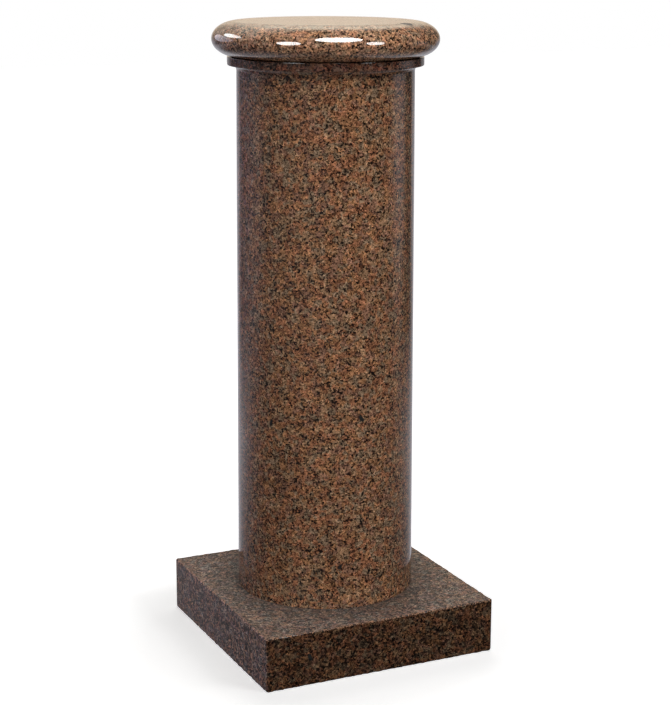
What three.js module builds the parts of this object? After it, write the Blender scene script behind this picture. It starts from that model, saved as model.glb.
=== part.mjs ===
import * as THREE from "three";

// A polished granite pillar: a square plinth slab, a round shaft and a round cap slab.
// Millimetres, +Z up. The origin is the middle of the plinth's underside.

// The plinth is a square slab with its arrises just taken off.
const PLINTH_SIDE = 400;
const PLINTH_HEIGHT = 88;
const PLINTH_ARRIS = 1;

// The shaft tapers a little from foot to neck, and its top flares through a cove into a collar.
const SHAFT_HEIGHT = 867;
const SHAFT_FOOT_RADIUS = 145;
const SHAFT_NECK_RADIUS = 140.5;
const COVE_RADIUS = 8.5;
const COLLAR_PROJECTION = 14.5;
const COLLAR_HEIGHT = 13;

// The shaft stands a little off the middle of the plinth.
const SHAFT_OFFSET_X = -3.9;
const SHAFT_OFFSET_Y = 8.7;

// The cap's edge is a full bullnose: half an ellipse, as tall as the slab.
const CAP_RADIUS = 179;
const CAP_THICKNESS = 55;
const NOSE_REACH = 40;

// How finely the round forms are faceted.
const TURN_SEGMENTS = 96;
const NOSE_STEPS = 20;
const COVE_STEPS = 6;

const QUARTER_TURN = Math.PI / 2;

// A closed body turned about +Z from a profile of [radius, height] points, bottom to top.
function turned(profile) {
  const points = profile.map(([radius, height]) => new THREE.Vector2(radius, height));
  const geometry = new THREE.LatheGeometry(points, TURN_SEGMENTS);
  geometry.rotateX(QUARTER_TURN);
  return geometry;
}

// A square slab with every arris taken off by the same small amount.
function squareSlab(side, height, arris) {
  const half = side / 2;
  const flat = half - arris;
  const outline = new THREE.Shape();
  outline.moveTo(-flat, -half);
  outline.lineTo(flat, -half);
  outline.lineTo(half, -flat);
  outline.lineTo(half, flat);
  outline.lineTo(flat, half);
  outline.lineTo(-flat, half);
  outline.lineTo(-half, flat);
  outline.lineTo(-half, -flat);
  const geometry = new THREE.ExtrudeGeometry(outline, {
    depth: height - 2 * arris,
    bevelEnabled: true,
    bevelThickness: arris,
    bevelSize: arris,
    bevelOffset: -arris,
    bevelSegments: 1,
  });
  geometry.translate(0, 0, arris);
  return geometry;
}

// The cove is a hollow quarter circle, from the neck of the shaft to the collar's underside.
function coveProfile(neckRadius, undersideHeight) {
  const points = [];
  for (let step = 0; step <= COVE_STEPS; step += 1) {
    const angle = QUARTER_TURN * (step / COVE_STEPS);
    const radius = neckRadius + COVE_RADIUS * (1 - Math.cos(angle));
    const height = undersideHeight - COVE_RADIUS * (1 - Math.sin(angle));
    points.push([radius, height]);
  }
  return points;
}

// The bullnose is half an ellipse, from the rim of the cap's underside to the rim of its top.
function noseProfile(flatRadius) {
  const points = [];
  const halfThickness = CAP_THICKNESS / 2;
  for (let step = 0; step <= NOSE_STEPS; step += 1) {
    const angle = Math.PI * (step / NOSE_STEPS) - QUARTER_TURN;
    const radius = flatRadius + NOSE_REACH * Math.cos(angle);
    const height = halfThickness * (1 + Math.sin(angle));
    points.push([radius, height]);
  }
  return points;
}

function shaftGeometry() {
  const collarRadius = SHAFT_NECK_RADIUS + COLLAR_PROJECTION;
  const collarUnderside = SHAFT_HEIGHT - COLLAR_HEIGHT;
  return turned([
    [0, 0],
    [SHAFT_FOOT_RADIUS, 0],
    ...coveProfile(SHAFT_NECK_RADIUS, collarUnderside),
    [collarRadius, collarUnderside],
    [collarRadius, SHAFT_HEIGHT],
    [0, SHAFT_HEIGHT],
  ]);
}

function capGeometry() {
  const flatRadius = CAP_RADIUS - NOSE_REACH;
  return turned([
    [0, 0],
    ...noseProfile(flatRadius),
    [0, CAP_THICKNESS],
  ]);
}

function piece(name, geometry, material, height) {
  const mesh = new THREE.Mesh(geometry, material);
  mesh.name = name;
  mesh.position.z = height;
  return mesh;
}

const polishedGranite = new THREE.MeshStandardMaterial({
  color: 0x6c4e3a,
  roughness: 0.12,
  metalness: 0,
});
const honedGranite = new THREE.MeshStandardMaterial({
  color: 0x5f463a,
  roughness: 0.4,
  metalness: 0,
});

// The shaft and the cap share one axis.
const turnedWork = new THREE.Group();
turnedWork.position.set(SHAFT_OFFSET_X, SHAFT_OFFSET_Y, 0);
turnedWork.add(
  piece("shaft", shaftGeometry(), polishedGranite, PLINTH_HEIGHT),
  piece("cap", capGeometry(), polishedGranite, PLINTH_HEIGHT + SHAFT_HEIGHT),
);

const pillar = new THREE.Group();
pillar.add(
  piece("plinth", squareSlab(PLINTH_SIDE, PLINTH_HEIGHT, PLINTH_ARRIS), honedGranite, 0),
  turnedWork,
);

export default pillar;
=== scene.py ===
"""A polished red-brown granite pillar: plinth, shaft and cap, each with its own stone."""

import math

import bpy
from mathutils import Matrix, Vector, noise


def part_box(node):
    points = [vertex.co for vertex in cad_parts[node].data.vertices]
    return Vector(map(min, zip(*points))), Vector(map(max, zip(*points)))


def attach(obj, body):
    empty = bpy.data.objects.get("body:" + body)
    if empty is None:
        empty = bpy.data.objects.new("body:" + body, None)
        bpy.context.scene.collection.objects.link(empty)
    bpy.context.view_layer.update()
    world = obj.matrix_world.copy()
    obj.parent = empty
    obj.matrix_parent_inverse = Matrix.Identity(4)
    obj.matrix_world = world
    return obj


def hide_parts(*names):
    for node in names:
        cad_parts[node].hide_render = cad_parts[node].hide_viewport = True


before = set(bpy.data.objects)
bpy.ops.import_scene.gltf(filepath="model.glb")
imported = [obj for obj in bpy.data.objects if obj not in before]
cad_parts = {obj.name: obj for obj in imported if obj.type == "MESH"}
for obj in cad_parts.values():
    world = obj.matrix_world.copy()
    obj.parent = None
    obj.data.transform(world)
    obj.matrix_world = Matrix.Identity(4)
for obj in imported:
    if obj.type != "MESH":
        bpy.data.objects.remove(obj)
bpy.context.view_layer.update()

# Places taken from the frame, in metres.
PLINTH_LOW, PLINTH_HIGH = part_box("plinth")
SHAFT_LOW, SHAFT_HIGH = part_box("shaft")
CAP_LOW, CAP_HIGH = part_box("cap")
AXIS = Vector(((SHAFT_LOW.x + SHAFT_HIGH.x) / 2, (SHAFT_LOW.y + SHAFT_HIGH.y) / 2, 0.0))
COLLAR_RADIUS = (SHAFT_HIGH.x - SHAFT_LOW.x) / 2
CAP_RADIUS = (CAP_HIGH.x - CAP_LOW.x) / 2

# Shaft, in metres: the sizes that its box doesn't give.
FOOT_RADIUS = 0.145
NECK_RADIUS = 0.1405
COVE_RADIUS = 0.0085
COLLAR_HEIGHT = 0.013

# Cap, in metres: how far the bullnose reaches in from the widest point.
NOSE_REACH = 0.040

# Arrises, in metres: each small round, and how far from its corner the mesh holds the flat beside it.
# The turned ones are on the shaft, the worn one is the collar's lower edge, and the sawn ones are
# the plinth's.
TURNED_ARRIS = 0.0004
ARRIS_HOLD = 0.0005
WORN_ARRIS = 0.0016
WORN_HOLD = 0.0018
SAWN_ARRIS = 0.0006
SAWN_HOLD = 0.0022

# The plinth's arrises have crumbled, coarsely and finely. The depth and the sizes are in metres.
CHIP_DEPTH = 0.0013
CHIP_COARSE_SIZE = 0.010
CHIP_FINE_SIZE = 0.004
CHIP_MEAN = 0.35
CHIP_COARSE_SWING = 0.9
CHIP_FINE_SWING = 0.55
CHIP_DROP = 0.7

# Mesh density. Lengths are in metres, and faces above the area, in square metres, are shaded flat.
TURN_SEGMENTS = 256
NOSE_STEPS = 48
COVE_STEPS = 12
ARRIS_STEPS = 3
SHAFT_RINGS = 24
EDGE_STEP = 0.0025
FLAT_FACE_AREA = 0.00001

# The camera stands on the side that the plinth's front corner points to. Distances in metres.
CAMERA_TURN = math.radians(24.99)
CAMERA_DISTANCE = 2.8238
CAMERA_HEIGHT = 1.1530
CAMERA_PITCH = math.radians(13.47)
CAMERA_YAW = math.radians(0.34)
CAMERA_ROLL = math.radians(0.17)
CAMERA_FOCAL_PIXELS = 1779.0
IMAGE_LONG_SIDE = 705.0
SENSOR = 36.0
NEAREST = 0.1
FARTHEST = 200.0

# Grain of the stone. Sizes are in metres, and the bend of the grains' outlines is in grain sizes.
PATCH_SIZE = 0.0080
GRAIN_SIZE = 0.0026
SPECK_SIZE = 0.0016
DAPPLE_SIZE = 0.0044
GRAIN_BEND = 1.2
CLOUD_SIZE = 0.016
CLOUD_STRENGTH = 0.5

# How many layers of detail a noise has: few for smooth outlines, more for patches and for the cap's film of
# dust and painted sheen. The film's finer layers also fade less.
SMOOTH_LAYERS = 1.0
PATCHY_LAYERS = 2.0
FILM_LAYERS = 6.0
FILM_PERSISTENCE = 0.7

# Dark knots in the stone: their spacing in metres, the share of places that has one, and where one's edge
# starts and ends, as shares of the spacing.
KNOT_SPACING = 0.030
KNOT_SHARE = 0.06
KNOT_EDGE = (0.20, 0.14)

# Colours of the minerals, from the most common down: (share, colour).
PATCHES = [
    (0.24, (0.186, 0.079, 0.040)),
    (0.20, (0.203, 0.097, 0.046)),
    (0.20, (0.190, 0.108, 0.059)),
    (0.19, (0.150, 0.076, 0.047)),
    (0.17, (0.145, 0.095, 0.059)),
]
# How bright the grains, the specks and the plinth's larger crystals are: (share, brightness).
GRAINS = [(0.12, 0.06), (0.15, 0.36), (0.25, 0.88), (0.24, 1.20), (0.16, 1.55), (0.08, 2.1)]
SPECKS = [(0.20, 0.25), (0.50, 0.98), (0.30, 1.42)]
DAPPLES = [(0.24, 0.40), (0.46, 1.10), (0.30, 1.32)]
KNOT_COLOUR = (0.014, 0.015, 0.014, 1.0)
CALM_COLOUR = (0.172, 0.105, 0.068, 1.0)

# How bright each piece of stone is, and how much of the calm colour evens out the cap's patches.
PLINTH_TONE = 0.34
SHAFT_TONE = 1.0
CAP_TONE = 1.45
CAP_CALM = 0.3

# Where in the rock each piece was cut, so that no two show the same grain.
PLINTH_CUT = (3.1, 1.7, 0.6)
SHAFT_CUT = (0.4, 2.3, 1.9)
CAP_CUT = (5.2, 0.8, 4.4)

# The polish of each piece: (roughness, specular level).
STONE_IOR = 1.5
PLINTH_POLISH = (0.12, 0.2)
SHAFT_POLISH = (0.05, 0.5)
CAP_POLISH = (0.04, 0.5)

# The plinth's top is honed and paler than the polished sides, and its colour is painted lighter and bluer
# still, as painted light from above and a painted veil of reflection. The stone turns from side to top
# while the upward share of its normal rises from the first of these to the second.
TOP_FACING = (0.90, 0.99)
HONED_AND_LIT_TINT = (1.70, 2.10, 2.60)
PAINTED_VEIL = (0.006, 0.006, 0.006)
HONED_ROUGHNESS = 0.70

# The plinth's top is darker near the shaft's foot, darkest at the foot. The reach is in metres.
FOOT_DARKENING_REACH = 0.060
FOOT_DARKENING_TONE = 0.55

# Broken stone along the plinth's upper arrises. Sizes are in metres, and the edges are levels of the noise.
BROKEN_REACH = 0.0032
BROKEN_SIZE = 0.005
BROKEN_EDGES = (0.40, 0.62)
BROKEN_ROUGHNESS = 0.9
CRYSTAL_SIZE = 0.0025
CRYSTAL_EDGES = (0.48, 0.56)
BROKEN_DARK = (0.012, 0.008, 0.006)
BROKEN_PALE = (0.26, 0.13, 0.07)

# The collar's colour is darkened by this much: painted shade under the cap's overhang.
COLLAR_SHADE_TINT = (0.62, 0.54, 0.62)

# The cap's rubbed top and the pale film on it: dust, and a painted sheen of reflection that makes the top
# look cream. The radius, softness and film size are in metres, and the film starts at the first level of
# the noise and is thickest at the second.
RUBBED_RADIUS = 0.1605
RUBBED_ROUGHNESS = 0.16
RUBBED_SOFTNESS = 0.002
FILM_SIZE = 0.014
DUST_AND_SHEEN_EDGES = (0.35, 0.65)
DUST_AND_SHEEN_COVER = (0.0, 0.75)
DUST_AND_SHEEN_COLOUR = (0.50, 0.41, 0.30, 1.0)

# The dark mark painted on the cap's top as the shade of a small pit, in degrees and metres from the shaft's
# axis.
PIT_SHADE_AZIMUTH = 57
PIT_SHADE_REACH = 0.146
PIT_SHADE_RADIUS = 0.011
PIT_SHADE_STRENGTH = 0.9

# Lights, in degrees. Azimuth 0 is towards the camera, and 90 to its picture's right. Distances in metres.
PANEL_DISTANCE = 2.4
KEY_DISTANCE = 5.5
FILL_DISTANCE = 1.3
SHAFT_FILL_DISTANCE = 0.9
SHAFT_FILL_HEIGHT = 0.78
MIDDLE = (PLINTH_HIGH.z + CAP_LOW.z) / 2
WHITE = (1.0, 1.0, 1.0)
LILAC = (0.95, 0.92, 1.08)
VIOLET = (0.92, 1.02, 2.4)
COOL = (0.76, 0.98, 1.8)
# Softboxes that the polish mirrors: (name, azimuth, elevation, width, height, tilt, radiance, colour).
SOFTBOXES = [
    ("front_left", -36, 11, 24, 26, 0, 22.0, WHITE),
    ("front_top", 15, 43, 40, 36, 0, 26.0, WHITE),
    ("front_right", 49, 10, 19, 24, 0, 18.0, WHITE),
    ("side_left", -124, 7, 44, 20, 0, 1.6, LILAC),
    ("side_left_top", -115, 25, 32, 13, 4, 8.5, WHITE),
]
# Lights that the polish doesn't mirror:
# (name, the pieces it falls on, azimuth, elevation, width, height, radiance, aim, distance, colour).
STONES = ("plinth", "shaft", "cap")
FILLS = [
    ("key", STONES, 13, 48, 50, 40, 7.2, CAP_LOW.z, KEY_DISTANCE, WHITE),
    ("front_fill", STONES, 11, 5, 40, 40, 1.4, MIDDLE, FILL_DISTANCE, WHITE),
    ("top_fill", STONES, 0, 80, 40, 40, 0.7, CAP_LOW.z, PANEL_DISTANCE, WHITE),
    ("right_fill", STONES, 80, 12, 40, 40, 0.4, MIDDLE, PANEL_DISTANCE, WHITE),
    ("back_fill", STONES, 175, 25, 50, 40, 3.5, MIDDLE, KEY_DISTANCE, WHITE),
    ("left_fill", ("shaft",), -118, 0, 30, 30, 5.6, SHAFT_FILL_HEIGHT, SHAFT_FILL_DISTANCE, VIOLET),
    ("cap_fill", ("cap",), -105, 8, 30, 30, 2.3, CAP_LOW.z, PANEL_DISTANCE, VIOLET),
    ("plinth_fill", ("plinth",), -80, 1, 40, 40, 9.4, PLINTH_LOW.z, PANEL_DISTANCE, COOL),
]
# Lights on the floor, which only the plinth shades: (name, azimuth, elevation, width, height, radiance).
FLOOR_LIGHTS = [
    ("floor_front", 60, 41, 20, 20, 6.8),
    ("floor_back", 175, 55, 36, 30, 1.8),
]

# The floor is pale paper that glows a little. The glow rises to white between these distances, in metres.
FLOOR_SIZE = 24.0
PAPER_COLOUR = (0.90, 0.90, 0.90, 1.0)
FLOOR_GLOW = 0.67
FLOOR_GLOW_FROM = 0.30
FLOOR_GLOW_TO = 0.50

# The room's even light on everything, from below and from above, and how softly one turns into the other.
ROOM_LIGHT = (0.15, 0.02)
HORIZON_SOFTNESS = 0.1
# The room's colour as the stone mirrors it, from 0 straight below to 1 straight above.
ROOM_WARMTH = [
    (0.45, (0.95, 0.95, 1.03)),
    (0.53, (1.03, 0.87, 0.68)),
    (0.70, (1.0, 0.95, 0.82)),
]
# The room's brightness as the stone mirrors it: for each elevation, stops of (degrees from straight
# behind the pillar, brightness). The degrees grow to the picture's right.
ROOM = [
    (-85, [(-180, 0.35), (180, 0.35)]),
    (-60, [(-180, 0.12), (-120, 0.15), (-90, 0.40), (-62, 0.65), (-30, 0.85), (0, 0.90), (30, 0.85),
           (62, 0.60), (90, 0.40), (120, 0.15), (180, 0.12)]),
    (-45, [(-180, 0.10), (-90, 0.12), (-69, 0.15), (-52, 0.40), (-35, 0.65), (-20, 0.85), (0, 0.90),
           (20, 0.85), (35, 0.65), (52, 0.35), (69, 0.15), (90, 0.12), (180, 0.10)]),
    (-36, [(-180, 0.10), (-69, 0.08), (-52, 0.12), (-40, 0.25), (-30, 0.50), (-20, 0.90), (0, 1.0),
           (15, 0.95), (26, 0.45), (38, 0.12), (55, 0.08), (180, 0.10)]),
    (-28, [(-180, 0.08), (-60, 0.03), (-45, 0.06), (-34, 0.14), (-28, 0.40), (-22, 0.75), (-15, 1.0),
           (15, 1.0), (24, 0.70), (32, 0.30), (45, 0.05), (180, 0.08)]),
    (-24, [(-180, 0.08), (-85, 0.03), (-60, 0.10), (-38, 0.12), (-30, 0.18), (-26, 0.38), (-20, 0.70),
           (-15, 0.85), (15, 0.85), (24, 0.50), (34, 0.15), (60, 0.05), (180, 0.08)]),
    (-20, [(-180, 0.08), (-95, 0.05), (-80, 0.10), (-62, 0.15), (-45, 0.30), (-30, 0.48), (-15, 0.68),
           (15, 0.68), (30, 0.42), (50, 0.20), (65, 0.10), (95, 0.05)]),
    (-16, [(-180, 0.08), (-95, 0.05), (-77, 0.23), (-62, 0.46), (-47, 0.57), (-35, 0.60), (-15, 0.65),
           (15, 0.68), (30, 0.55), (42, 0.48), (54, 0.38), (68, 0.27), (80, 0.15), (95, 0.08)]),
    (-12, [(-95, 0.15), (-79, 0.35), (-65, 0.30), (-50, 0.15), (-41, 0.11), (-32, 0.20), (-18, 0.68),
           (19, 0.54), (29, 0.25), (38, 0.05), (55, 0.03), (71, 0.26), (84, 0.10), (95, 0.05)]),
    (-7, [(-100, 0.15), (-81, 0.42), (-69, 0.31), (-55, 0.13), (-38, 0.16), (-28, 0.47), (0, 0.46),
          (31, 0.47), (36, 0.06), (52, 0.06), (63, 0.55), (76, 0.76), (87, 0.20), (95, 0.04)]),
    (3, [(-95, 0.05), (-36, 0.10), (-28, 0.20), (-14, 0.66), (0, 0.81), (12, 0.70), (20, 0.12),
         (60, 0.05), (70, 0.50), (78, 0.60), (88, 0.05)]),
    (14, [(-95, 0.05), (-40, 0.70), (-30, 0.80), (-22, 0.40), (0, 0.70), (10, 0.45),
          (16, 0.06), (33, 0.22), (42, 0.05)]),
    (28, [(-100, 0.15), (-40, 0.60), (-33, 0.55), (-25, 0.50), (0, 1.05), (15, 0.80),
          (25, 0.10), (180, 0.10)]),
    (42, [(-110, 0.15), (-84, 1.5), (-67, 1.5), (0, 1.8), (15, 1.6), (25, 0.15), (180, 0.10)]),
    (52, [(-110, 0.15), (-84, 1.3), (0, 2.1), (18, 1.8), (30, 0.15), (180, 0.10)]),
    (62, [(-110, 0.15), (-60, 1.0), (0, 1.4), (25, 1.0), (40, 0.15), (180, 0.10)]),
    (70, [(-180, 0.15), (0, 0.40), (180, 0.15)]),
    (80, [(-180, 0.10), (180, 0.10)]),
]


def add_mesh(name, vertices, faces):
    """A smooth-shaded mesh object."""
    mesh = bpy.data.meshes.new(name)
    mesh.from_pydata(vertices, [], faces)
    mesh.validate()
    mesh.shade_smooth()
    piece = bpy.data.objects.new(name, mesh)
    bpy.context.scene.collection.objects.link(piece)
    return piece


def arris(corner_r, corner_z, to_start, to_end, size):
    """A small round, as (radius, height) points, that takes off one corner.

    to_start and to_end are the directions, each a (radius, height) pair, from the corner to its ends.
    """
    points = []
    start = (corner_r + to_start[0] * size, corner_z + to_start[1] * size)
    end = (corner_r + to_end[0] * size, corner_z + to_end[1] * size)
    for step in range(ARRIS_STEPS + 1):
        t = step / ARRIS_STEPS
        keep = (1 - t) ** 2
        pull = 2 * t * (1 - t)
        leave = t ** 2
        points.append((
            keep * start[0] + pull * corner_r + leave * end[0],
            keep * start[1] + pull * corner_z + leave * end[1],
        ))
    return points


def turned(name, profile):
    """A closed piece turned about the shaft's axis from (radius, height) points, bottom to top."""
    vertices = [(AXIS.x, AXIS.y, profile[0][1])]
    for radius, height in profile[1:-1]:
        for segment in range(TURN_SEGMENTS):
            angle = 2 * math.pi * segment / TURN_SEGMENTS
            vertices.append((
                AXIS.x + radius * math.cos(angle),
                AXIS.y + radius * math.sin(angle),
                height,
            ))
    vertices.append((AXIS.x, AXIS.y, profile[-1][1]))
    top = len(vertices) - 1
    rings = len(profile) - 2
    faces = []
    for segment in range(TURN_SEGMENTS):
        after = (segment + 1) % TURN_SEGMENTS
        faces.append((0, 1 + after, 1 + segment))
        last = 1 + (rings - 1) * TURN_SEGMENTS
        faces.append((top, last + segment, last + after))
    for ring in range(rings - 1):
        low = 1 + ring * TURN_SEGMENTS
        high = low + TURN_SEGMENTS
        for segment in range(TURN_SEGMENTS):
            after = (segment + 1) % TURN_SEGMENTS
            faces.append((low + segment, low + after, high + after, high + segment))
    return add_mesh(name, vertices, faces)


def shaft_profile():
    """The shaft from foot to top: a slight taper, a cove and a square collar."""
    low = SHAFT_LOW.z
    high = SHAFT_HIGH.z
    underside = high - COLLAR_HEIGHT
    neck = underside - COVE_RADIUS
    hold = ARRIS_HOLD
    points = [(0.0, low), (FOOT_RADIUS - hold, low)]
    points += arris(FOOT_RADIUS, low, (-1, 0), (0, 1), TURNED_ARRIS)
    rise = neck - low
    first = hold / rise
    for ring in range(SHAFT_RINGS):
        t = first + (1 - first) * ring / SHAFT_RINGS
        points.append((FOOT_RADIUS + (NECK_RADIUS - FOOT_RADIUS) * t, low + rise * t))
    for step in range(COVE_STEPS + 1):
        angle = math.pi / 2 * step / COVE_STEPS
        points.append((
            NECK_RADIUS + COVE_RADIUS * (1 - math.cos(angle)),
            underside - COVE_RADIUS * (1 - math.sin(angle)),
        ))
    points += arris(COLLAR_RADIUS, underside, (-1, 0), (0, 1), WORN_ARRIS)
    points.append((COLLAR_RADIUS, underside + WORN_HOLD))
    points.append((COLLAR_RADIUS, high - hold))
    points += arris(COLLAR_RADIUS, high, (0, -1), (-1, 0), TURNED_ARRIS)
    points.append((COLLAR_RADIUS - hold, high))
    points.append((0.0, high))
    return points


def cap_profile():
    """The cap from underside to top, with half an ellipse as its edge."""
    low = CAP_LOW.z
    high = CAP_HIGH.z
    half = (high - low) / 2
    flat = CAP_RADIUS - NOSE_REACH
    hold = ARRIS_HOLD
    points = [(0.0, low), (flat - hold, low)]
    for step in range(NOSE_STEPS + 1):
        angle = math.pi * step / NOSE_STEPS - math.pi / 2
        points.append((
            flat + NOSE_REACH * math.cos(angle),
            low + half * (1 + math.sin(angle)),
        ))
    points.append((flat - hold, high))
    points.append((0.0, high))
    return points


def slab_outline(half):
    """Points round a square of that half width, in the order of its corners, evenly spaced."""
    count = round(2 * half / EDGE_STEP)
    corners = [(-half, -half), (half, -half), (half, half), (-half, half)]
    points = []
    for side in range(4):
        ax, ay = corners[side]
        bx, by = corners[(side + 1) % 4]
        for step in range(count):
            t = step / count
            points.append((ax + (bx - ax) * t, ay + (by - ay) * t))
    return points


def chip(place):
    """How much of the arris has crumbled at a place, from 0 to 1."""
    coarse = noise.noise(place / CHIP_COARSE_SIZE)
    fine = noise.noise(place / CHIP_FINE_SIZE)
    share = CHIP_MEAN + CHIP_COARSE_SWING * coarse + CHIP_FINE_SWING * fine
    return min(max(share, 0.0), 1.0)


def slab(name, low, high):
    """A square slab with sawn arrises that have crumbled a little, grain by grain."""
    half = (high.x - low.x) / 2
    outline = slab_outline(half)
    count = len(outline)
    per_side = count // 4
    hold = SAWN_HOLD
    levels = [(hold, 0.0), (SAWN_ARRIS, 0.0), (0.0, SAWN_ARRIS), (0.0, hold)]
    height = high.z - low.z
    rows = [(inset, z) for inset, z in levels] + [(inset, height - z) for inset, z in reversed(levels)]
    vertices = []
    for inset, z in rows:
        is_edge = inset in (SAWN_ARRIS, 0.0) and (z < hold / 2 or z > height - hold / 2)
        for index, (x, y) in enumerate(outline):
            place = Vector((x, y, low.z + z))
            bite = chip(place) * CHIP_DEPTH if is_edge else 0.0
            shrink = (half - inset - bite) / half
            lift = bite if z < height / 2 else -bite
            at_corner = index % per_side == 0
            pull = shrink - (SAWN_ARRIS + chip(place) * CHIP_DEPTH) / half if at_corner else shrink
            drop = lift * CHIP_DROP if inset > 0 else 0.0
            vertices.append((x * pull, y * pull, place.z + drop))
    faces = []
    for row in range(len(rows) - 1):
        for index in range(count):
            after = (index + 1) % count
            base = row * count
            faces.append((base + index, base + after, base + count + after, base + count + index))
    bottom = len(vertices)
    vertices.append((0.0, 0.0, low.z))
    vertices.append((0.0, 0.0, high.z))
    last = (len(rows) - 1) * count
    for index in range(count):
        after = (index + 1) % count
        faces.append((bottom, after, index))
        faces.append((bottom + 1, last + index, last + after))
    stone = add_mesh(name, vertices, faces)
    for face in stone.data.polygons:
        face.use_smooth = face.area < FLAT_FACE_AREA
    return stone


class Nodes:
    """Adds nodes to a tree and links them as it goes."""

    def __init__(self, tree):
        self.tree = tree
        tree.nodes.clear()

    def add(self, kind, inputs=None, **settings):
        node = self.tree.nodes.new(kind)
        for key, value in settings.items():
            setattr(node, key, value)
        for key, value in (inputs or {}).items():
            if isinstance(value, bpy.types.NodeSocket):
                self.tree.links.new(value, node.inputs[key])
            else:
                node.inputs[key].default_value = value
        return node

    def math(self, operation, first, second=0.0, clamp=False):
        node = self.add("ShaderNodeMath", {0: first, 1: second}, operation=operation, use_clamp=clamp)
        return node.outputs[0]

    def ramp(self, factor, stops, interpolation="LINEAR"):
        """stops is a list of (position, grey or colour)."""
        node = self.add("ShaderNodeValToRGB", {"Fac": factor})
        ramp = node.color_ramp
        ramp.interpolation = interpolation
        for index, (position, value) in enumerate(stops):
            colour = value if isinstance(value, tuple) else (value, value, value)
            if index < len(ramp.elements):
                element = ramp.elements[index]
                element.position = position
            else:
                element = ramp.elements.new(position)
            element.color = (*colour, 1.0)
        return node.outputs["Color"]

    def mix(self, factor, first, second, blend="MIX"):
        node = self.add(
            "ShaderNodeMix", {0: factor, 6: first, 7: second}, data_type="RGBA", blend_type=blend,
        )
        return node.outputs[2]

    def vector(self, operation, first, second=None, scale=None, output=0):
        inputs = {0: first}
        if second is not None:
            inputs[1] = second
        if scale is not None:
            inputs["Scale"] = scale
        return self.add("ShaderNodeVectorMath", inputs, operation=operation).outputs[output]

    def span(self, value, start, end, low=0.0, high=1.0):
        """The value's way from start to end, as a number from low to high."""
        node = self.add(
            "ShaderNodeMapRange",
            {"Value": value, "From Min": start, "From Max": end, "To Min": low, "To Max": high},
        )
        return node.outputs["Result"]

    def part(self, vector, axis):
        """One axis of a vector."""
        return self.add("ShaderNodeSeparateXYZ", {"Vector": vector}).outputs[axis]

    def noise(self, where, size, layers, persistence=0.5):
        return self.add(
            "ShaderNodeTexNoise",
            {"Vector": where, "Scale": 1 / size, "Detail": layers, "Roughness": persistence},
        )

    def cells(self, where, size):
        return self.add("ShaderNodeTexVoronoi", {"Vector": where, "Scale": 1 / size})

    def chance(self, where, size, channel="Red"):
        """A number from 0 to 1 for each cell of that size."""
        colour = self.cells(where, size).outputs["Color"]
        return self.add("ShaderNodeSeparateColor", {"Color": colour}).outputs[channel]


def shares(minerals):
    """Ramp stops for a list of (share, colour), so that each colour takes its share."""
    stops = []
    total = sum(share for share, colour in minerals)
    start = 0.0
    for share, colour in minerals:
        stops.append((start / total, colour))
        start += share
    return stops


def rubbed_top(n, colour, roughness):
    """The cap's flat top is rubbed, not polished, under a film of dust and painted sheen, and has one dark
    mark near its rim, painted as the shade of a small pit.
    """
    where = n.add("ShaderNodeTexCoord").outputs["Object"]
    flat = n.vector("MULTIPLY", where, (1.0, 1.0, 0.0))
    above = n.math("GREATER_THAN", n.part(where, "Z"), (CAP_LOW.z + CAP_HIGH.z) / 2)

    def disc(x, y, radius):
        """1 on the cap's top within the radius of a place, and 0 elsewhere, with a soft rim."""
        away = n.vector("DISTANCE", flat, (x, y, 0.0), output="Value")
        inside = n.span(away, radius + RUBBED_SOFTNESS, radius - RUBBED_SOFTNESS)
        return n.math("MULTIPLY", inside, above)

    rubbed = disc(AXIS.x, AXIS.y, RUBBED_RADIUS)
    # The pale film: dust, and a painted sheen of reflection.
    film = n.noise(where, FILM_SIZE, FILM_LAYERS, FILM_PERSISTENCE).outputs["Fac"]
    dust_and_sheen = n.ramp(film, list(zip(DUST_AND_SHEEN_EDGES, DUST_AND_SHEEN_COVER)))
    colour = n.mix(n.math("MULTIPLY", dust_and_sheen, rubbed), colour, DUST_AND_SHEEN_COLOUR)
    # Painted shade of a small pit near the cap's rim, made rough as well.
    pit_place = AXIS + camera_direction(PIT_SHADE_AZIMUTH, 0) * PIT_SHADE_REACH
    pit_shade = disc(pit_place.x, pit_place.y, PIT_SHADE_RADIUS)
    colour = n.mix(n.math("MULTIPLY", pit_shade, PIT_SHADE_STRENGTH), colour, KNOT_COLOUR)
    roughness = n.span(rubbed, 0.0, 1.0, roughness, RUBBED_ROUGHNESS)
    roughness = n.span(pit_shade, 0.0, 1.0, roughness, 1.0)
    return colour, roughness


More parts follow.
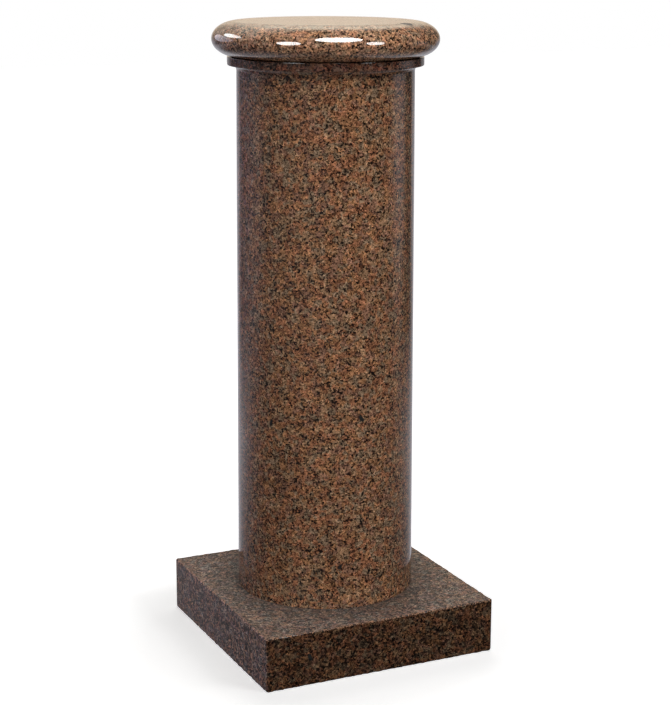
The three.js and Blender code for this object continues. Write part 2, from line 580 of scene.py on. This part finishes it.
def sawn_slab(n, colour, roughness):
    """The plinth's sides are polished, its top is honed and painted lighter with painted light and a
    painted veil of reflection, and its upper arrises have crumbled.
    """
    source = n.add("ShaderNodeTexCoord")
    where = source.outputs["Object"]
    dapples = n.ramp(n.chance(where, DAPPLE_SIZE), shares(DAPPLES), "CONSTANT")
    colour = n.mix(1.0, colour, dapples, "MULTIPLY")

    top = n.span(n.part(source.outputs["Normal"], "Z"), *TOP_FACING)
    # The top's colour: honed stone, with painted light from above and a painted veil of reflection.
    honed_and_lit = n.vector("MULTIPLY", colour, HONED_AND_LIT_TINT)
    honed_and_lit = n.vector("ADD", honed_and_lit, PAINTED_VEIL)
    # The top is darker near the shaft's foot.
    honed_and_lit = n.vector("SCALE", honed_and_lit, scale=foot_darkening(n, where))
    colour = n.mix(top, colour, honed_and_lit)
    roughness = n.span(top, 0.0, 1.0, roughness, HONED_ROUGHNESS)

    broken = broken_arris(n, where)
    pale = n.noise(where, CRYSTAL_SIZE, SMOOTH_LAYERS).outputs["Fac"]
    crystals = n.ramp(pale, list(zip(CRYSTAL_EDGES, (BROKEN_DARK, BROKEN_PALE))))
    colour = n.mix(broken, colour, crystals)
    roughness = n.span(broken, 0.0, 1.0, roughness, BROKEN_ROUGHNESS)
    return colour, roughness


def foot_darkening(n, where):
    """How much the plinth's top is darkened: darkest at the shaft's foot, and not at all a patchy distance
    away.
    """
    flat = n.vector("MULTIPLY", where, (1.0, 1.0, 0.0))
    away = n.vector("DISTANCE", flat, AXIS, output="Value")
    patchy = n.noise(where, FOOT_DARKENING_REACH, PATCHY_LAYERS).outputs["Fac"]
    reach = n.math("ADD", n.math("MULTIPLY", patchy, FOOT_DARKENING_REACH), FOOT_RADIUS + FOOT_DARKENING_REACH / 2)
    return n.span(away, FOOT_RADIUS, reach, FOOT_DARKENING_TONE, 1.0)


def broken_arris(n, where):
    """1 where the stone has broken away along the plinth's upper arrises, and 0 elsewhere."""
    x = n.math("ABSOLUTE", n.part(where, "X"))
    y = n.math("ABSOLUTE", n.part(where, "Y"))
    inward = n.math("SUBTRACT", PLINTH_HIGH.x, n.math("MAXIMUM", x, y))
    below = n.math("SUBTRACT", PLINTH_HIGH.z, n.part(where, "Z"))
    crumb = n.noise(where, BROKEN_SIZE, PATCHY_LAYERS).outputs["Fac"]
    reach = n.span(crumb, *BROKEN_EDGES, 0.0, BROKEN_REACH)
    return n.math("LESS_THAN", n.math("MAXIMUM", inward, below), reach)


def shaded_collar(n, colour, roughness):
    """The collar under the cap is painted darker than the shaft: painted shade from the cap's overhang."""
    height = n.part(n.add("ShaderNodeTexCoord").outputs["Object"], "Z")
    collar = n.math("GREATER_THAN", height, SHAFT_HIGH.z - COLLAR_HEIGHT)
    # Painted shade: the collar is darkened as if the cap's overhang shadows it.
    shaded = n.vector("MULTIPLY", colour, COLLAR_SHADE_TINT)
    return n.mix(collar, colour, shaded), roughness


def granite(name, tone, cut, polish, finish, calm=0.0):
    """Granite: patches of coloured crystals, finer dark and pale grains over them, and a few knots."""
    material = bpy.data.materials.new(name)
    material.use_nodes = True
    n = Nodes(material.node_tree)
    where = n.add("ShaderNodeTexCoord").outputs["Object"]
    place = n.vector("ADD", where, cut)

    def bent(size):
        wobble = n.noise(place, size, SMOOTH_LAYERS).outputs["Color"]
        centred = n.vector("SUBTRACT", wobble, (0.5, 0.5, 0.5))
        return n.vector("ADD", place, n.vector("SCALE", centred, scale=size * GRAIN_BEND))

    def grained(colour, size, grains, channel, cloudy=0.0):
        pick = n.math("ADD", n.chance(bent(size), size, channel), cloudy, clamp=True)
        return n.mix(1.0, colour, n.ramp(pick, shares(grains), "CONSTANT"), "MULTIPLY")

    cloud = n.noise(place, CLOUD_SIZE, PATCHY_LAYERS).outputs["Fac"]
    cloudy = n.math("MULTIPLY", n.math("SUBTRACT", cloud, 0.5), CLOUD_STRENGTH)
    colour = n.ramp(n.chance(bent(PATCH_SIZE), PATCH_SIZE), shares(PATCHES), "CONSTANT")
    colour = n.mix(calm, colour, CALM_COLOUR)
    colour = grained(colour, GRAIN_SIZE, GRAINS, "Red", cloudy)
    colour = grained(colour, SPECK_SIZE, SPECKS, "Green")
    colour = n.vector("SCALE", colour, scale=tone)

    knots = bent(KNOT_SPACING)
    kept = n.math("LESS_THAN", n.chance(knots, KNOT_SPACING), KNOT_SHARE)
    core = n.span(n.cells(knots, KNOT_SPACING).outputs["Distance"], *KNOT_EDGE)
    colour = n.mix(n.math("MULTIPLY", core, kept), colour, KNOT_COLOUR)

    roughness, shine = polish
    colour, roughness = finish(n, colour, roughness)
    shader = n.add(
        "ShaderNodeBsdfPrincipled",
        {"Base Color": colour, "Roughness": roughness, "IOR": STONE_IOR, "Specular IOR Level": shine},
    )
    n.add("ShaderNodeOutputMaterial", {"Surface": shader.outputs["BSDF"]})
    return material


def dress(piece, node, material):
    """The piece takes the node's place, with its own stone."""
    piece.data.materials.append(material)
    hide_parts(node)
    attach(piece, "root")


def camera_direction(azimuth, elevation):
    """A direction in the frame. Azimuth 0 points to the camera, and 90 to the right of its picture."""
    a = math.radians(azimuth) - CAMERA_TURN
    e = math.radians(elevation)
    return Vector((math.sin(a) * math.cos(e), -math.cos(a) * math.cos(e), math.sin(e)))


def make_camera():
    """The camera that took the picture, fitted to the pillar's outline in it."""
    data = bpy.data.cameras.new("camera")
    data.sensor_width = SENSOR
    data.lens = SENSOR * CAMERA_FOCAL_PIXELS / IMAGE_LONG_SIDE
    data.clip_start = NEAREST
    data.clip_end = FARTHEST
    camera = bpy.data.objects.new("camera", data)
    bpy.context.scene.collection.objects.link(camera)
    pitch, yaw, roll = CAMERA_PITCH, CAMERA_YAW, CAMERA_ROLL
    forward = Vector((math.sin(yaw) * math.cos(pitch), math.cos(yaw) * math.cos(pitch), -math.sin(pitch)))
    level = Vector((math.cos(yaw), -math.sin(yaw), 0.0))
    upright = level.cross(forward)
    right = level * math.cos(roll) + upright * math.sin(roll)
    up = upright * math.cos(roll) - level * math.sin(roll)
    turn = Matrix.Rotation(-CAMERA_TURN, 3, "Z")
    columns = Matrix((turn @ right, turn @ up, turn @ -forward)).transposed()
    camera.matrix_world = columns.to_4x4()
    camera.location = AXIS + turn @ Vector((0.0, -CAMERA_DISTANCE, CAMERA_HEIGHT))
    bpy.context.scene.camera = camera


def panel(name, azimuth, elevation, width, height, radiance, aim, distance=PANEL_DISTANCE):
    """A soft light round the pillar. Its direction, width and height are degrees seen from its aim."""
    across = 2 * distance * math.tan(math.radians(width) / 2)
    upward = 2 * distance * math.tan(math.radians(height) / 2)
    data = bpy.data.lights.new(name, "AREA")
    data.shape = "ELLIPSE"
    data.size = across
    data.size_y = upward
    area = math.pi * across * upward / 4
    data.energy = radiance * math.pi * area
    light = bpy.data.objects.new(name, data)
    bpy.context.scene.collection.objects.link(light)
    target = AXIS + Vector((0.0, 0.0, aim))
    light.location = target + camera_direction(azimuth, elevation) * distance
    light.rotation_euler = (target - light.location).to_track_quat("-Z", "Y").to_euler()
    light.visible_camera = False
    return light


def only_on(light, *receivers):
    """The light falls on these objects alone."""
    lit = bpy.data.collections.new(light.name + "_lights")
    for receiver in receivers:
        lit.objects.link(receiver)
    light.light_linking.receiver_collection = lit


def only_shadows_of(light, *blockers):
    """These objects alone stand in the light's way."""
    shading = bpy.data.collections.new(light.name + "_shadows")
    for blocker in blockers:
        shading.objects.link(blocker)
    light.light_linking.blocker_collection = shading


def studio_world():
    """The room as the stone mirrors it. The camera itself sees plain white behind the pillar."""
    world = bpy.data.worlds.new("studio")
    world.use_nodes = True
    bpy.context.scene.world = world
    n = Nodes(world.node_tree)
    where = n.add("ShaderNodeTexCoord").outputs["Generated"]
    facing = n.add(
        "ShaderNodeVectorRotate", {"Vector": where, "Angle": CAMERA_TURN}, rotation_type="Z_AXIS",
    ).outputs[0]
    turned_by = n.math("ARCTAN2", n.part(facing, "X"), n.part(facing, "Y"))
    position = n.math("ADD", n.math("DIVIDE", turned_by, 2 * math.pi), 0.5)
    height = n.part(facing, "Z")

    room = None
    for elevation, stops in ROOM:
        ring = n.ramp(position, [(degrees / 360 + 0.5, value) for degrees, value in stops])
        level = math.sin(math.radians(elevation))
        if room is None:
            room = ring
        else:
            room = n.mix(n.span(height, below, level), room, ring)
        below = level
    warmth = n.ramp(n.math("MULTIPLY", n.math("ADD", height, 1.0), 0.5), ROOM_WARMTH)
    room = n.mix(1.0, room, warmth, "MULTIPLY")

    under, over = ROOM_LIGHT
    above = n.span(height, -HORIZON_SOFTNESS, HORIZON_SOFTNESS)
    even = n.mix(above, (under, under, under, 1.0), (over, over, over, 1.0))
    ray = n.add("ShaderNodeLightPath")
    colour = n.mix(ray.outputs["Is Diffuse Ray"], room, even)
    colour = n.mix(ray.outputs["Is Camera Ray"], colour, (*WHITE, 1.0))
    surface = n.add("ShaderNodeBackground", {"Color": colour, "Strength": 1.0})
    n.add("ShaderNodeOutputWorld", {"Surface": surface.outputs["Background"]})


def make_floor():
    """A wide pale floor that the camera sees. The stone mirrors the studio's own floor instead."""
    corner = FLOOR_SIZE / 2
    floor = add_mesh(
        "floor", [(-corner, -corner, 0), (corner, -corner, 0), (corner, corner, 0), (-corner, corner, 0)],
        [(0, 1, 2, 3)],
    )
    material = bpy.data.materials.new("paper")
    material.use_nodes = True
    n = Nodes(material.node_tree)
    where = n.add("ShaderNodeTexCoord").outputs["Object"]
    far = n.vector("LENGTH", where, output="Value")
    shader = n.add(
        "ShaderNodeBsdfPrincipled",
        {
            "Base Color": PAPER_COLOUR, "Roughness": 1.0, "Specular IOR Level": 0.0,
            "Emission Color": (*WHITE, 1.0),
            "Emission Strength": n.span(far, FLOOR_GLOW_FROM, FLOOR_GLOW_TO, FLOOR_GLOW, 1.0),
        },
    )
    n.add("ShaderNodeOutputMaterial", {"Surface": shader.outputs["BSDF"]})
    floor.data.materials.append(material)
    floor.visible_diffuse = False
    floor.visible_glossy = False
    return floor


def hang_softboxes():
    """Softboxes that only the polish shows."""
    for name, azimuth, elevation, width, height, tilt, radiance, colour in SOFTBOXES:
        softbox = panel(name, azimuth, elevation, width, height, radiance, CAP_LOW.z)
        softbox.data.color = colour
        softbox.rotation_euler.rotate_axis("Z", math.radians(tilt))
        softbox.visible_diffuse = False


def hang_fills(stones):
    """Lights that the polish doesn't show, each on its own pieces."""
    for name, pieces, azimuth, elevation, width, height, radiance, aim, distance, colour in FILLS:
        fill = panel(name, azimuth, elevation, width, height, radiance, aim, distance)
        fill.data.color = colour
        fill.visible_glossy = False
        only_on(fill, *(stones[piece] for piece in pieces))
        only_shadows_of(fill, *stones.values())


def hang_floor_lights(floor, plinth):
    """Lights that fall on the floor alone, with the plinth's shadow."""
    for name, azimuth, elevation, width, height, radiance in FLOOR_LIGHTS:
        light = panel(name, azimuth, elevation, width, height, radiance, PLINTH_LOW.z)
        light.visible_glossy = False
        only_on(light, floor)
        only_shadows_of(light, plinth)


make_camera()
stones = {
    "plinth": slab("plinth_stone", PLINTH_LOW, PLINTH_HIGH),
    "shaft": turned("shaft_stone", shaft_profile()),
    "cap": turned("cap_stone", cap_profile()),
}
plinth_granite = granite("granite_plinth", PLINTH_TONE, PLINTH_CUT, PLINTH_POLISH, sawn_slab)
shaft_granite = granite("granite_shaft", SHAFT_TONE, SHAFT_CUT, SHAFT_POLISH, shaded_collar)
cap_granite = granite("granite_cap", CAP_TONE, CAP_CUT, CAP_POLISH, rubbed_top, CAP_CALM)
dress(stones["plinth"], "plinth", plinth_granite)
dress(stones["shaft"], "shaft", shaft_granite)
dress(stones["cap"], "cap", cap_granite)

studio_world()
floor = make_floor()
hang_softboxes()
hang_fills(stones)
hang_floor_lights(floor, stones["plinth"])
bpy.context.scene.view_settings.view_transform = "Standard"
